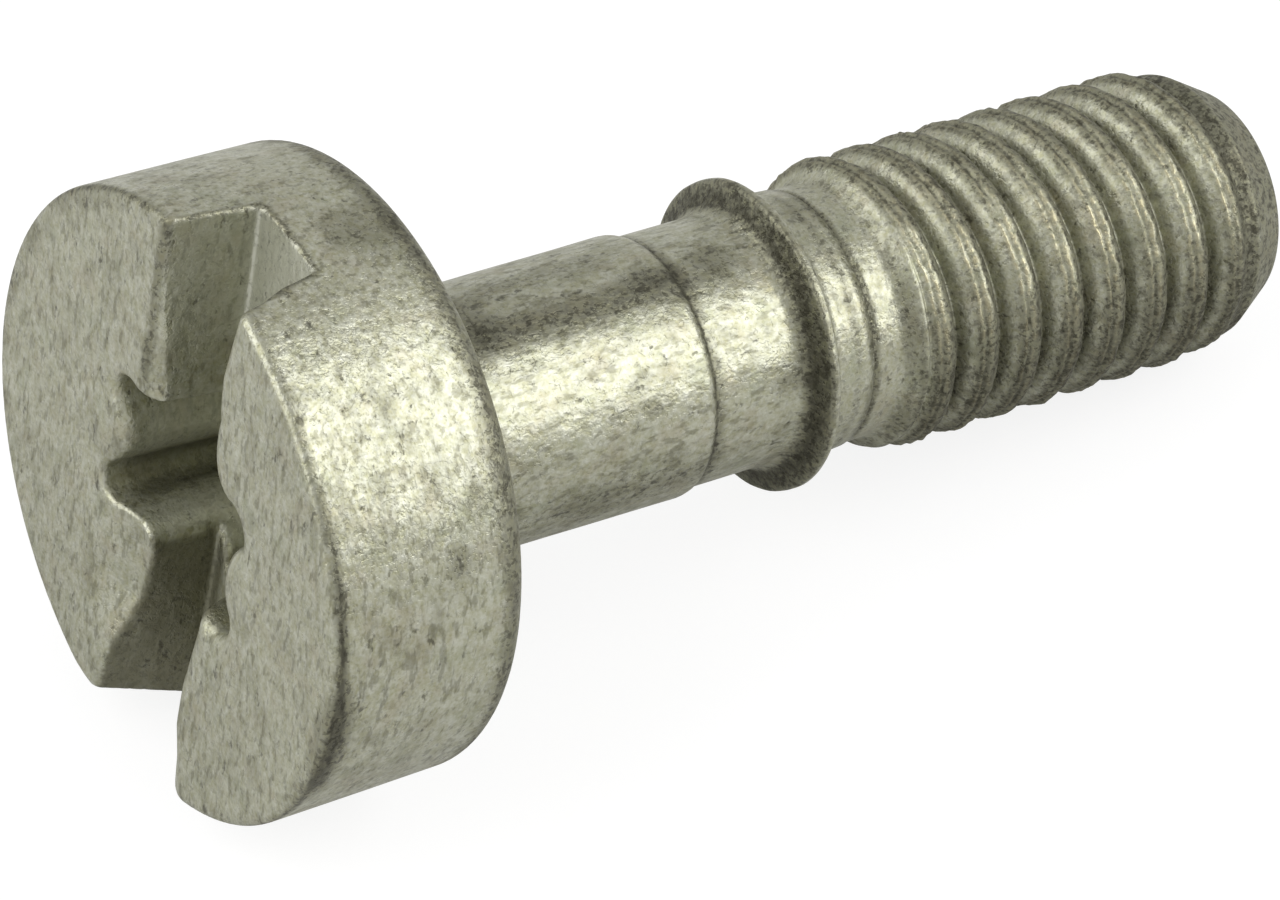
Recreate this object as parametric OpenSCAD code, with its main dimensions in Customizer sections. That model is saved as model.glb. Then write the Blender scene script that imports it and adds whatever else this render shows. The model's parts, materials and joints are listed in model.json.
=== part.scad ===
// Captive machine screw with a slotted cheese head, a six-lobe star recess, a rolled collar and thread.
// It is modelled upright on its own axis, head face at 0 and tip at the top, and then laid down as it rests.

/* [Head] */
// Diameter of the head
head_d = 11.94; // [10:0.1:14]
// Height of the head along the axis
head_h = 4.1; // [3.4:0.1:6]
// Rounding of the edge round the head's face
face_edge_r = 0.2; // [0.1:0.05:0.6]
// Rounding of the edge round the head's bearing side
bearing_edge_r = 0.45; // [0.1:0.05:0.8]
// Fillet between the head and the shank
head_fillet_r = 0.25; // [0.1:0.05:0.6]

/* [Slot] */
// Width of the slot at the head's face
slot_w = 2.6; // [1.6:0.1:3]
// Depth of the slot
slot_depth = 1.75; // [1:0.05:2.2]
// Lean of each slot wall, in degrees
slot_draft = 16; // [0:1:20]
// Rounding along the slot's floor
slot_floor_r = 0.15; // [0.1:0.05:0.5]
// Rounding of the slot's mouth, along both walls
slot_mouth_r = 0.35; // [0.1:0.05:0.5]
// Turn of the slot about the screw's axis, in degrees
slot_turn = 2.4; // [-180:0.1:180]

// Distance that the punched slot and star sit off the screw's axis
punch_shift = 0.25; // [0:0.05:0.4]
// Direction of that distance, turned from the slot's own direction, in degrees
punch_shift_turn = -138.7; // [-180:0.1:180]

/* [Star recess] */
// Distance across opposite points of the star
star_d = 5.07; // [4.4:0.01:5.6]
// Distance across opposite waists of the star
star_waist_d = 3.65; // [3.2:0.01:4]
// Rounding of each point of the star
star_point_r = 0.42; // [0.3:0.01:0.5]
// Depth of the star's walls below the head's face
star_depth = 2.7; // [2.3:0.05:3]
// Depth of the shallow cone at the bottom of the star
star_cone_h = 0.5; // [0.1:0.05:0.6]

/* [Shank] */
// Diameter of the shank under the head
shank_d = 5.04; // [4.6:0.02:5.6]
// Diameter of the shank at its shoulder, where it flares a little
shoulder_d = 5.12; // [4.6:0.02:5.8]
// Distance from the head's face to the shoulder
shoulder_pos = 10.5; // [8:0.1:11]
// Rounding of the shoulder
shoulder_r = 0.3; // [0.05:0.05:0.4]
// Diameter of the shank past the shoulder
waist_d = 4.9; // [4.4:0.02:5]

/* [Collar] */
// Diameter of the rolled collar
collar_d = 6.12; // [5.6:0.02:7]
// Distance from the head's face to the middle of the collar's rim
collar_pos = 12.8; // [12.2:0.1:13.6]
// Thickness of the collar at its rim
collar_rim_w = 0.26; // [0.2:0.02:0.6]
// Length of the flank that rises to the rim
collar_front_w = 0.62; // [0.4:0.02:1]
// Length of the flank behind the rim
collar_back_w = 0.2; // [0.1:0.02:0.5]
// Rounding of the collar's rim
collar_rim_r = 0.1; // [0.05:0.01:0.1]

/* [Neck] */
// Diameter of the neck between the collar and the thread
neck_d = 5.1; // [4.9:0.02:5.6]
// Distance from the head's face to the fine ring groove that ends the neck
neck_end_pos = 14; // [13.6:0.1:14.2]
// Width of the ring groove
ring_groove_w = 0.14; // [0.06:0.02:0.2]
// Diameter of the band where it leaves the groove, before it runs down to the thread's root
band_d = 4.98; // [4.8:0.02:5.1]

/* [Thread] */
// Diameter over the thread's crests
thread_d = 5.8; // [5.6:0.02:6]
// Diameter at the thread's root
root_d = 4.77; // [4.4:0.01:4.8]
// Distance from one crest to the next
pitch = 1; // [0.8:0.05:1.25]
// Distance from the head's face to the start of the thread
thread_pos = 14.7; // [14.5:0.1:16]
// Length of the thread, up to the tip's chamfer
thread_len = 8.25; // [4:0.25:20]

/* [Tip] */
// Diameter of the plain blank where the thread runs out
blank_d = 5.34; // [5:0.02:5.4]
// Length of the chamfered tip past the thread
tip_h = 0.96; // [0.6:0.05:2]
// Lean of the tip's chamfer, in degrees
tip_angle = 30; // [15:1:40]
// Rounding of the tip's edge
tip_edge_r = 0.2; // [0.05:0.05:0.4]

/* [Smoothness] */
// Sides of the round surfaces
round_sides = 96; // [48:8:160]
// Segments of the thread in one turn
thread_sides = 48; // [24:4:64]

/* [Hidden] */
steel = [0.66, 0.65, 0.58];
$fn = round_sides;
// How far one solid reaches into the next where they join
join = 0.06;
// Height of the fine ring that the tip leaves round the last of the thread, and at the end of the band
lip = 0.03;
// How far the slot's roundings stand past the faces that they join, so that none of them only touches
ease = 0.005;
// Ends of the thread and of the whole screw, measured from the head's face
thread_end = thread_pos + thread_len;
length = thread_end + tip_h;

// Radius of the chamfer's cone, which also cuts the last turns of the thread
function tip_cone_r(z) = blank_d / 2 + lip + (thread_end - z) * tan(tip_angle);
tip_flat_r = tip_cone_r(length);
// Centre of the tip's rounded edge, which touches the chamfer and the flat end
tip_edge_x = tip_flat_r - tip_edge_r * tan((90 - tip_angle) / 2);
tip_edge_z = length - tip_edge_r;

// Stations of the thread over one pitch, from root to crest and back, as [share of the pitch, of the height]
PROFILE = [
    [0, 0], [0.07, 0.02], [0.14, 0.08], [0.4, 0.93], [0.5, 1], [0.6, 0.93], [0.86, 0.08], [0.93, 0.02]
];
stations = len(PROFILE);
// Turns of the helix, and its steps
turns = ceil(thread_len / pitch);
steps = turns * thread_sides;
// Turns over which the thread grows at its start and runs out at its end
grow = [0.65, 1.05];
fade = [thread_len / pitch - 0.15, thread_len / pitch + 0.4];
// Past the thread's end the helix is squeezed, so that its last turns end inside the tip
squeeze = tip_h / (4 * pitch);

function smooth(t) = let (c = min(1, max(0, t))) c * c * (3 - 2 * c);
function ramp(range, s) = smooth((s - range[0]) / (range[1] - range[0]));
function helix_turn(step, k) = step / thread_sides + PROFILE[k][0];
function helix_z(step, k) =
    let (z = thread_pos + pitch * (helix_turn(step, k) - 0.5), past = max(0, z - thread_end - join))
    z - past * (1 - squeeze);
function helix_r(step, k) =
    let (turn = helix_turn(step, k), z = helix_z(step, k))
    let (rise = PROFILE[k][1] * ramp(grow, turn) * (thread_d - root_d) / 2)
    let (cut = min(root_d / 2 + rise, tip_cone_r(z)), plain = min(blank_d / 2, tip_cone_r(z) - lip))
    cut + (plain - cut) * ramp(fade, turn);
function helix_point(step, k) =
    let (a = 360 * step / thread_sides)
    [helix_r(step, k) * cos(a), helix_r(step, k) * sin(a), helix_z(step, k)];

// The lying screw touches the ground with the head's edge and the lowest crest near the tip
head_touch = [head_h - bearing_edge_r, head_d / 2 - bearing_edge_r];
function lean_to(z, r) =
    let (run = z - head_touch[0], drop = head_touch[1] - r)
    atan2(drop, run) + asin(bearing_edge_r / norm([run, drop]));
rest_tilt = min([for (step = [0:steps], k = [0:stations - 1])
    let (p = helix_point(step, k)) if (p[0] > 0) lean_to(p[2], p[0])]);

// Bounds of the lying screw before it is moved to its origin
low_z = -head_touch[0] * sin(rest_tilt) - head_touch[1] * cos(rest_tilt) - bearing_edge_r;
low_x = face_edge_r * cos(rest_tilt) - (head_d / 2 - face_edge_r) * sin(rest_tilt) - face_edge_r;
high_x = tip_edge_z * cos(rest_tilt) + tip_edge_x * sin(rest_tilt) + tip_edge_r;

// Outline of half the head, with both edges rounded
module head_outline() {
    difference() {
        square([head_d / 2, head_h]);
        translate([head_d / 2 - face_edge_r, 0]) square(face_edge_r);
        translate([head_d / 2 - bearing_edge_r, head_h - bearing_edge_r]) square(bearing_edge_r);
    }
    translate([head_d / 2 - face_edge_r, face_edge_r]) circle(face_edge_r);
    translate([head_d / 2 - bearing_edge_r, head_h - bearing_edge_r]) circle(bearing_edge_r);
}

// Fillet in the corner at [x, y], which opens towards +x and +y
module corner_fillet(x, y, r) {
    translate([x, y]) difference() {
        square(r);
        translate([r, r]) circle(r);
    }
}

// Outline of half the shank, from inside the head to the collar
module shank_outline() {
    edge_start = shoulder_pos - shoulder_r;
    polygon([
        [0, head_h - join], [shank_d / 2, head_h - join], [shoulder_d / 2, edge_start],
        [shoulder_d / 2 - shoulder_r, edge_start], [shoulder_d / 2 - shoulder_r, shoulder_pos],
        [0, shoulder_pos]
    ]);
    translate([shoulder_d / 2 - shoulder_r, edge_start]) circle(shoulder_r);
    corner_fillet(shank_d / 2, head_h, head_fillet_r);
    translate([0, edge_start]) square([waist_d / 2, collar_pos - edge_start]);
}

// Outline of half the collar: a hollow flank, a rounded rim and a steep back
module collar_outline() {
    rim = collar_d / 2;
    front = collar_pos - collar_rim_w / 2;
    back = collar_pos + collar_rim_w / 2;
    rise = rim - collar_rim_r - waist_d / 2;
    // Radius of the hollow flank that leaves the waist smoothly and meets the rim's edge
    hollow_r = (collar_front_w * collar_front_w + rise * rise) / (2 * rise);
    difference() {
        polygon([
            [0, front - collar_front_w], [waist_d / 2, front - collar_front_w], [rim - collar_rim_r, front],
            [rim - collar_rim_r, back], [neck_d / 2, back + collar_back_w], [0, back + collar_back_w]
        ]);
        translate([waist_d / 2 + hollow_r, front - collar_front_w]) circle(hollow_r);
    }
    translate([0, front]) square([rim - collar_rim_r, collar_rim_w]);
    for (side = [front + collar_rim_r, back - collar_rim_r])
        translate([rim - collar_rim_r, side]) circle(collar_rim_r);
    translate([0, front + collar_rim_r]) square([rim, collar_rim_w - 2 * collar_rim_r]);
}

// Outline of half the neck, its ring groove and the band that runs down to the thread
module neck_outline() {
    difference() {
        polygon([
            [0, collar_pos], [neck_d / 2, collar_pos], [neck_d / 2, neck_end_pos], [band_d / 2, neck_end_pos],
            [root_d / 2 + lip, thread_pos], [0, thread_pos]
        ]);
        translate([band_d / 2 + ring_groove_w / 4, neck_end_pos]) circle(ring_groove_w / 2);
    }
}

// Outline of half the chamfered tip
module tip_outline() {
    polygon([
        [0, thread_end], [tip_cone_r(thread_end), thread_end],
        [tip_edge_x + tip_edge_r * cos(tip_angle), tip_edge_z + tip_edge_r * sin(tip_angle)],
        [tip_edge_x, tip_edge_z], [tip_edge_x, length], [0, length]
    ]);
    translate([tip_edge_x, tip_edge_z]) circle(tip_edge_r);
}

// Head, shank, collar and neck, turned about the axis
module turned_body() {
    rotate_extrude() intersection() {
        union() {
            head_outline();
            shank_outline();
            collar_outline();
            neck_outline();
        }
        square([head_d, length]);
    }
}

module tip() {
    rotate_extrude() intersection() {
        tip_outline();
        square([head_d, length]);
    }
}

// Rolled right-hand thread: a helical strip of stations, closed by flat rings inside the neck and the tip
module thread() {
    n = thread_sides;
    last = stations - 1;
    function ring(r, z) = [for (i = [0:n - 1]) [r * cos(360 * i / n), r * sin(360 * i / n), z]];
    strip = [for (step = [0:steps], k = [0:last]) helix_point(step, k)];
    top_row = [for (step = [steps + 1:steps + n]) helix_point(step, 0)];
    low_z = helix_z(0, 0) - join;
    high_z = helix_z(steps + n, 0) + join;
    start = len(strip) + len(top_row);
    points = concat(strip, top_row, ring(root_d / 2, low_z), ring(tip_cone_r(high_z) - lip, high_z));
    // Numbers of the points: on the helix, in the starting ring and in the closing ring
    function at(step, k) =
        k > last ? at(step + n, 0) : step > steps ? len(strip) + step - steps - 1 : stations * step + k;
    function low(i) = start + i % n;
    function high(i) = start + n + i % n;
    function fan(tip, row) = [for (i = [1:len(row) - 1]) [tip, row[i - 1], row[i]]];
    function quad(a, b, c, d) = [[a, d, c], [a, c, b]];
    function patch(step, k) = quad(at(step, k), at(step + 1, k), at(step + 1, k + 1), at(step, k + 1));
    skin = [for (step = [0:steps - 1], k = [0:last], f = patch(step, k)) f];
    low_side = [for (i = [0:n - 2], f = quad(low(i), low(i + 1), at(i + 1, 0), at(i, 0))) f];
    low_seam = fan(at(n - 1, 0), concat([for (k = [stations:-1:0]) at(0, k)], [low(0), low(n - 1)]));
    function end(i) = at(steps + i, 0);
    high_side = [for (i = [1:n - 1], f = quad(end(i), end(i + 1), high(i + 1), high(i))) f];
    high_seam = fan(end(1), concat([for (k = [0:stations]) at(steps, k)], [high(0), high(1)]));
    caps = [[for (i = [0:n - 1]) low(i)], [for (i = [n - 1:-1:0]) high(i)]];
    polyhedron(points, concat(skin, low_side, low_seam, high_side, high_seam, caps));
}

// Cutter for the slot: leaning walls, a floor with rounded corners and a rounded mouth
module slot_cut() {
    above = 1;
    // Point at depth z that lies r off a wall, towards the metal if r is positive
    function beside_wall(z, r) = [slot_w / 2 - z * tan(slot_draft) + r / cos(slot_draft), z];
    function square_to_wall(r) = r * [cos(slot_draft), sin(slot_draft)];
    floor_reach = slot_floor_r - ease;
    mouth_reach = slot_mouth_r - ease;
    corner = beside_wall(slot_depth - floor_reach, -floor_reach);
    mouth = beside_wall(mouth_reach, mouth_reach);
    module half() {
        difference() {
            polygon([
                [0, -above], [mouth[0], -above], mouth, mouth - square_to_wall(mouth_reach),
                corner + square_to_wall(floor_reach), corner, [corner[0], slot_depth], [0, slot_depth]
            ]);
            translate(mouth) circle(slot_mouth_r);
        }
        translate(corner) circle(slot_floor_r);
    }
    rotate([90, 0, 90]) translate([0, 0, -head_d]) linear_extrude(2 * head_d) {
        half();
        mirror([1, 0]) half();
    }
}

// Cutter for the star recess: rounded points joined by hollow waists, with a shallow cone at the bottom
module star_cut() {
    point_x = star_d / 2 - star_point_r;
    waist_x = star_waist_d / 2;
    // Radius of the hollow waist that touches the points on both sides
    across = sqrt(3) * point_x;
    waist_r = (point_x * point_x + waist_x * waist_x - across * waist_x - star_point_r * star_point_r)
        / (2 * star_point_r - 2 * waist_x + across);
    function on(r, a) = [r * cos(a), r * sin(a)];
    intersection() {
        translate([0, 0, -1]) linear_extrude(star_depth + star_cone_h + 1) {
            difference() {
                polygon([for (k = [0:5], half = [0, 1])
                    on(half ? waist_x + waist_r : point_x, 60 * k + 30 * half)]);
                for (k = [0:5]) rotate(60 * k + 30) translate([waist_x + waist_r, 0]) circle(waist_r);
            }
            for (k = [0:5]) rotate(60 * k) translate([point_x, 0]) circle(star_point_r);
        }
        rotate_extrude() polygon([[0, -1], [star_d, -1], [star_d, star_depth], [star_d / 2, star_depth],
            [0, star_depth + star_cone_h]]);
    }
}

// Place of the punched recess: turned to the slot's direction and a little off the axis
module punched() {
    rotate([0, 0, slot_turn])
        translate(punch_shift * [cos(punch_shift_turn), sin(punch_shift_turn), 0])
            children();
}

module screw() {
    color(steel)
        translate([-(low_x + high_x) / 2, 0, -low_z])
            rotate([0, 90 + rest_tilt, 0])
                difference() {
                    union() {
                        turned_body();
                        thread();
                        tip();
                    }
                    punched() slot_cut();
                    punched() star_cut();
                }
}

screw();
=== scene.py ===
import bpy
import json
import math
import numpy as np
from mathutils import Matrix, Vector


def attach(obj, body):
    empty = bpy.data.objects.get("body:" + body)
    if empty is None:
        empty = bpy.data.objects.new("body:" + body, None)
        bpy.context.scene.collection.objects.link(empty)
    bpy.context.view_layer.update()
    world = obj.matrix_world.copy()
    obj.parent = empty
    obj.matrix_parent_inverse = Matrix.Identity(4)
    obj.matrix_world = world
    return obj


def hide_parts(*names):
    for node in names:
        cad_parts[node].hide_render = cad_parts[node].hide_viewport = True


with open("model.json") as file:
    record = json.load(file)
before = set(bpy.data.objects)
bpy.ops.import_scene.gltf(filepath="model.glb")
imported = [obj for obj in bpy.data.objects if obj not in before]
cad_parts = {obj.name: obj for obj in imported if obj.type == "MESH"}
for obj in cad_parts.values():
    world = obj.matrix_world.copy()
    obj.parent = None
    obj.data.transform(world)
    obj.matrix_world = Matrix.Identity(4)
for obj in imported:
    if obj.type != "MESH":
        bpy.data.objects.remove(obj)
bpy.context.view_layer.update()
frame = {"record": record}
print("frame loaded")

mm = 0.001


# camera, as the photograph was taken

cameraPlan = {
    "place": (-49.125, -75.234, 90.905),  # millimetres
    "aim": (0.38125, 0.59940, -0.70382),  # direction of view
    "lens": 186.28,
    "filmWidth": 36,
}


def makeCamera(plan):
    camera = bpy.data.objects.new("camera", bpy.data.cameras.new("camera"))
    bpy.context.scene.collection.objects.link(camera)
    camera.location = Vector(plan["place"]) * mm
    camera.rotation_euler = Vector(plan["aim"]).to_track_quat("-Z", "Y").to_euler()
    camera.data.sensor_width = plan["filmWidth"]
    camera.data.lens = plan["lens"]
    camera.data.clip_start = 0.005
    camera.data.clip_end = 10
    bpy.context.scene.camera = camera


# where the screw lies: its own axis runs from the head's face, at 0, to the tip

mounts = {m["name"]: m for m in frame["record"]["mounts"]}

bodyPlan = {  # millimetres along the screw's axis, and radii
    "length": 23.909,
    "headRadius": 5.965,
    "rearRadius": 5.92,
    "headHeight": 4.1,
    "faceEdge": 0.15,
    "bearingEdge": 0.45,
    "headFillet": 0.25,
    "shankRadius": 2.52,
    "shoulderRadius": 2.56,
    "shoulderAt": 10.5,
    "shoulderEdge": 0.3,
    "waistRadius": 2.45,
    "collarRadius": 3.06,
    "collarAt": 12.73,
    "collarRim": 0.24,
    "collarFront": 0.3,
    "collarFillet": 0.16,
    "collarBack": 0.2,
    "collarEdge": 0.1,
    "neckRadius": 2.55,
    "neckEnd": 14.0,
    "grooveWidth": 0.14,
    "bandRadius": 2.49,
    "grooveDips": (0.015, 0.03, 0.05, 0.015),  # the ring groove's rows, below the neck and the band
    "joinAt": 2.3,  # the head's front, with its recess, ends here and the turned part starts
    "joinGap": 0.1,
    "rowGap": 0.05,  # between rows where the profile turns a corner
    "neckGap": 0.03,
    "rimGaps": (0.02, 0.01),
    "unround": 0.004,  # unevenness of the shank, waist and neck
    "rimInset": 0.01,
    "rimWave": 0.012,  # unevenness of the collar's rim
    "rimReach": 0.5,
    "nudge": (-0.001, 0, 0.003),  # keeps the screw inside the CAD's box
    "sides": 120,
}

screwAxis = Vector(mounts["tip_face"]["axis"]).normalized()
tipPoint = Vector(mounts["tip_face"]["pos_m"])
facePoint = tipPoint + (Vector(bodyPlan["nudge"]) - screwAxis * bodyPlan["length"]) * mm
downAxis = Vector((screwAxis.z, 0, -screwAxis.x))
screwPlace = Matrix.Translation(facePoint) @ Matrix((downAxis, (0, 1, 0), screwAxis)).transposed().to_4x4()


def smoothStep(value, low, high):
    share = np.clip((value - low) / (high - low), 0, 1)
    return share * share * (3 - 2 * share)


def softMax(a, b, width):
    near = np.maximum(width - np.abs(a - b), 0) / width
    return np.maximum(a, b) + near * near * width / 4


def softMin(a, b, width):
    return -softMax(-a, -b, width)


def hump(value, middle, reach, power=2):  # 1 at the middle, nearly 0 beyond twice the reach
    return np.exp(-((value - middle) / reach) ** power)


def degreesFrom(middle, angle):  # from -180 to 180
    return (angle - middle + 180) % 360 - 180


class Ripple:  # smooth unevenness that closes on itself round the screw
    def __init__(self, seed, waves, around, along):
        draw = np.random.RandomState(seed)
        self.turns = draw.randint(1, around + 1, waves)
        self.runs = draw.uniform(-along, along, waves)
        self.start = draw.uniform(0, 2 * math.pi, waves)
        self.size = draw.uniform(0.4, 1, waves) / math.sqrt(waves)

    def at(self, angle, z):
        total = 0
        for turns, runs, start, size in zip(self.turns, self.runs, self.start, self.size):
            total = total + size * np.sin(turns * angle + runs * z + start)
        return total


# head's front: a field that is negative inside the metal, turned into a mesh

recessPlan = {  # millimetres; s runs down the slot, n towards the right-hand land
    "turn": 2.4,  # degrees
    "shift": (-0.188, -0.165),
    "slotDepth": 1.75,
    # the slot's half widths and roundings at these places down the slot
    "stops": [-6, -3.9, -1.8, 0, 1.5, 2.1, 2.4, 3.3, 4.3, 5, 6],
    "leftMouth": [1.34, 1.3, 1.12, 1.15, 0.76, 0.79, 0.88, 1.06, 1.16, 1.26, 1.45],
    "rightMouth": [1.2, 0.88, 0.98, 1.42, 1.36, 1.31, 1.28, 1.15, 1.14, 1.24, 1.3],
    "leftRound": [0.08, 0.07, 0.07, 0.1, 0.06, 0.06, 0.06, 0.06, 0.07, 0.13, 0.16],
    "leftChamfer": [0.04, 0.1, 0.3, 0.2, 0, 0, 0, 0, 0, 0, 0],
    "rightRound": [0.3, 0.36, 0.42, 0.45, 0.45, 0.43, 0.42, 0.4, 0.45, 0.6, 0.7],
    "leftFloor": [1.08, 0.98, 0.88, 0.8, 0.72, 0.7, 0.68, 0.66, 0.66, 0.66, 0.66],
    "rightFloor": 0.8,
    "floorRound": 0.05,
    "wallLean": 0.97,  # turns a width into a distance from the leaning wall
    "chamferLean": 0.7,
    "leftToRight": 0.3,  # half the width over which left values change into right ones
    # the land's dish beside the star
    "dishStops": [-1.5, -0.6, 0.6, 1.5, 2.4, 3.3, 3.9, 4.3, 5.1],
    "dishDepth": [0, 0.12, 0.2, 0.3, 0.42, 0.42, 0.28, 0.16, 0.02],
    "dishStart": 1.1,
    "dishReach": 1.35,
    # where the slot's walls run into the star
    "junctionStops": [-3, -1, 1, 3],
    "rightJunction": [0.7, 0.7, 0.2, 0.1],
    "leftJunction": [0.06, 0.06, 0.15, 0.15],
    # six-lobe star
    "pointAt": 2.115,
    "pointRadius": 0.42,
    "waistAt": 1.825,
    "starDepth": 2.7,
    "coneHeight": 0.5,  # the star's floor is a flat cone
    "coneRadius": 2.5,
    "starDraft": 0.04,
    "starFloorRound": 0.15,
    # the rounding of the star's and the slot's mouths
    "starReach": 0.5,
    "pointRound": 0.14,
    "waistRound": 0.42,
    "rightPointRound": 0.32,
    "crispRound": 0.05,
    "crispFrom": (0.6, 1.3),
    "exitCrisp": 0.75,
    "exitCrispDepth": (0.5, 1.1),
    "exitDent": 0.14,  # the head's side is dented where the slot's left edge ends
    "exitDentFrom": (-2.2, -1.2),
    "lip": 0.05,
    "lipReach": 0.9,
    "faceSoftness": 1.2,
    "meshStep": 0.086,
    "meshSpare": (2.5, 3.3, 3),  # steps beside, above and below the front
    "holeRadius": 4,  # the recess that lies below joinAt is inside this radius
}


def recessPlane(x, y):  # into the slot's own directions
    turn = math.radians(recessPlan["turn"])
    across, away = recessPlan["shift"]
    s = x * math.cos(turn) + y * math.sin(turn) - across
    n = -(y * math.cos(turn) - x * math.sin(turn) - away)
    return s, n


def starField(s, n):  # distance outside the star's outline, seen from the face
    plan = recessPlan
    point, tip, waist = plan["pointAt"], plan["pointRadius"], plan["waistAt"]
    hollow = point * point + waist * waist - math.sqrt(3) * point * waist - tip * tip
    hollow = hollow / (2 * tip - 2 * waist + math.sqrt(3) * point)  # radius that meets the points smoothly
    sector = math.pi / 3
    angle = np.abs((np.arctan2(n, s) + sector / 2) % sector - sector / 2)
    reach = np.hypot(s, n)
    u, v = reach * np.cos(angle), reach * np.sin(angle)
    hollowU, hollowV = (waist + hollow) * math.cos(sector / 2), (waist + hollow) * math.sin(sector / 2)
    lobe = np.hypot(u - point, v) - tip
    normalU, normalV = hollowV, point - hollowU
    side = ((u - point) * normalU + v * normalV) / math.hypot(normalU, normalV)
    core = np.maximum(hollow - np.hypot(u - hollowU, v - hollowV), side)
    return np.minimum(lobe, core)


def along(s, name):
    return np.interp(s, recessPlan["stops"], recessPlan[name])


def slotField(s, n, z):
    plan = recessPlan
    depthShare = 1 - z / plan["slotDepth"]
    leftWall = -n - (along(s, "leftFloor") + (along(s, "leftMouth") - along(s, "leftFloor")) * depthShare)
    rightWall = n - (plan["rightFloor"] + (along(s, "rightMouth") - plan["rightFloor"]) * depthShare)
    walls = np.maximum(leftWall, rightWall) * plan["wallLean"]
    slot = softMax(walls, z - plan["slotDepth"], plan["floorRound"])
    chamfer = np.maximum(-n - along(s, "leftMouth") + z - along(s, "leftChamfer"), n) * plan["chamferLean"]
    return np.where(along(s, "leftChamfer") > 0, np.minimum(slot, chamfer), slot)


def headField(points):
    plan = recessPlan
    x, y, z = points[:, 0], points[:, 1], points[:, 2]
    s, n = recessPlane(x, y)
    left = n < 0
    rightShare = smoothStep(n, -plan["leftToRight"], plan["leftToRight"])
    star = starField(s, n)
    outside = np.maximum(star, 0)
    # face, side and the rounded edge between them
    dish = plan["lip"] * hump(outside, 0, plan["lipReach"])
    beside = np.clip(1 - (-n - plan["dishStart"]) / plan["dishReach"], 0, 1)
    dish = dish + np.interp(s, plan["dishStops"], plan["dishDepth"]) * beside * beside * left
    taper = (bodyPlan["rearRadius"] - bodyPlan["headRadius"]) * np.clip(z / bodyPlan["headHeight"], 0, 1)
    dent = plan["exitDent"] * smoothStep(n, *plan["exitDentFrom"]) * left * (s > 0)
    sideRadius = bodyPlan["headRadius"] + taper - dent
    solid = softMax(np.hypot(x, y) - sideRadius, dish - z, bodyPlan["faceEdge"] * plan["faceSoftness"])
    # slot and star
    slot = slotField(s, n, z)
    starFloor = plan["starDepth"] + plan["coneHeight"] * (1 - np.hypot(s, n) / plan["coneRadius"])
    starHole = softMax(star + plan["starDraft"] * z, z - starFloor, plan["starFloorRound"])
    leftJunction = np.interp(s, plan["junctionStops"], plan["leftJunction"])
    rightJunction = np.interp(s, plan["junctionStops"], plan["rightJunction"])
    void = softMin(slot, starHole, leftJunction + (rightJunction - leftJunction) * rightShare)
    # rounded mouths
    mouthRound = along(s, "leftRound") + (along(s, "rightRound") - along(s, "leftRound")) * rightShare
    mouthRound = mouthRound * (1 - plan["exitCrisp"] * smoothStep(z, *plan["exitCrispDepth"]) * (s < 0))
    waistShare = (1 - np.cos(6 * np.arctan2(n, s))) / 2
    pointRound = plan["pointRound"] + (plan["rightPointRound"] - plan["pointRound"]) * rightShare
    starRound = pointRound + (plan["waistRound"] - pointRound) * waistShare
    starRound = starRound + (plan["crispRound"] - starRound) * smoothStep(s, *plan["crispFrom"]) * left
    mouthRound = mouthRound + (starRound - mouthRound) * hump(outside, 0, plan["starReach"])
    return softMax(solid, -void, mouthRound)


# a point in each cell that the surface crosses, and a quad for each of the grid's edges that it crosses
def netMesh(field, low, high, step):
    axes = [np.arange(a, b + step / 2, step) for a, b in zip(low, high)]
    count = [len(a) for a in axes]
    grid = np.stack(np.meshgrid(*axes, indexing="ij"), -1).reshape(-1, 3)
    inside = np.concatenate([field(part) < 0 for part in np.array_split(grid, 8)]).reshape(count)
    cells = np.zeros([c - 1 for c in count], int)
    for i in (0, 1):
        for j in (0, 1):
            for k in (0, 1):
                cells += inside[i:count[0] - 1 + i, j:count[1] - 1 + j, k:count[2] - 1 + k]
    mixed = (cells > 0) & (cells < 8)
    place = np.array(low) + (np.argwhere(mixed) + 0.5) * step
    outer = np.hypot(place[:, 0], place[:, 1]) > recessPlan["holeRadius"]
    dropped = outer & (place[:, 2] > bodyPlan["joinAt"])
    number = np.full(cells.shape, -1)
    wanted = np.argwhere(mixed)[~dropped]
    number[tuple(wanted.T)] = np.arange(len(wanted))
    quads = []
    for axis in range(3):
        one, two = [(1, 2), (2, 0), (0, 1)][axis]
        a = np.take(inside, range(count[axis] - 1), axis)
        b = np.take(inside, range(1, count[axis]), axis)
        crossed = np.argwhere(a != b)
        keep = (crossed[:, one] > 0) & (crossed[:, two] > 0)
        keep &= (crossed[:, one] < count[one] - 1) & (crossed[:, two] < count[two] - 1)
        crossed = crossed[keep]
        ring = []
        for back in ((1, 1), (0, 1), (0, 0), (1, 0)):
            cell = crossed.copy()
            cell[:, one] -= back[0]
            cell[:, two] -= back[1]
            ring.append(number[tuple(cell.T)])
        ring = np.stack(ring, 1)
        leaving = a[tuple(crossed.T)]
        ring[~leaving] = ring[~leaving][:, ::-1]
        quads.append(ring[(ring >= 0).all(1)])
    return place[~dropped], np.concatenate(quads)


def settle(points, field, step, rounds):  # moves the points onto the surface
    probe, leastSlope = 0.004, 0.1
    shifts = np.eye(3) * probe
    for _ in range(rounds):
        value = field(points)
        slope = np.stack([field(points + shift) - field(points - shift) for shift in shifts], 1) / (2 * probe)
        move = value[:, None] * slope / np.maximum((slope ** 2).sum(1, keepdims=True), leastSlope)
        size = np.linalg.norm(move, axis=1, keepdims=True)
        points = points - move * np.minimum(1, step / np.maximum(size, 1e-9))
    return points


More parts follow.
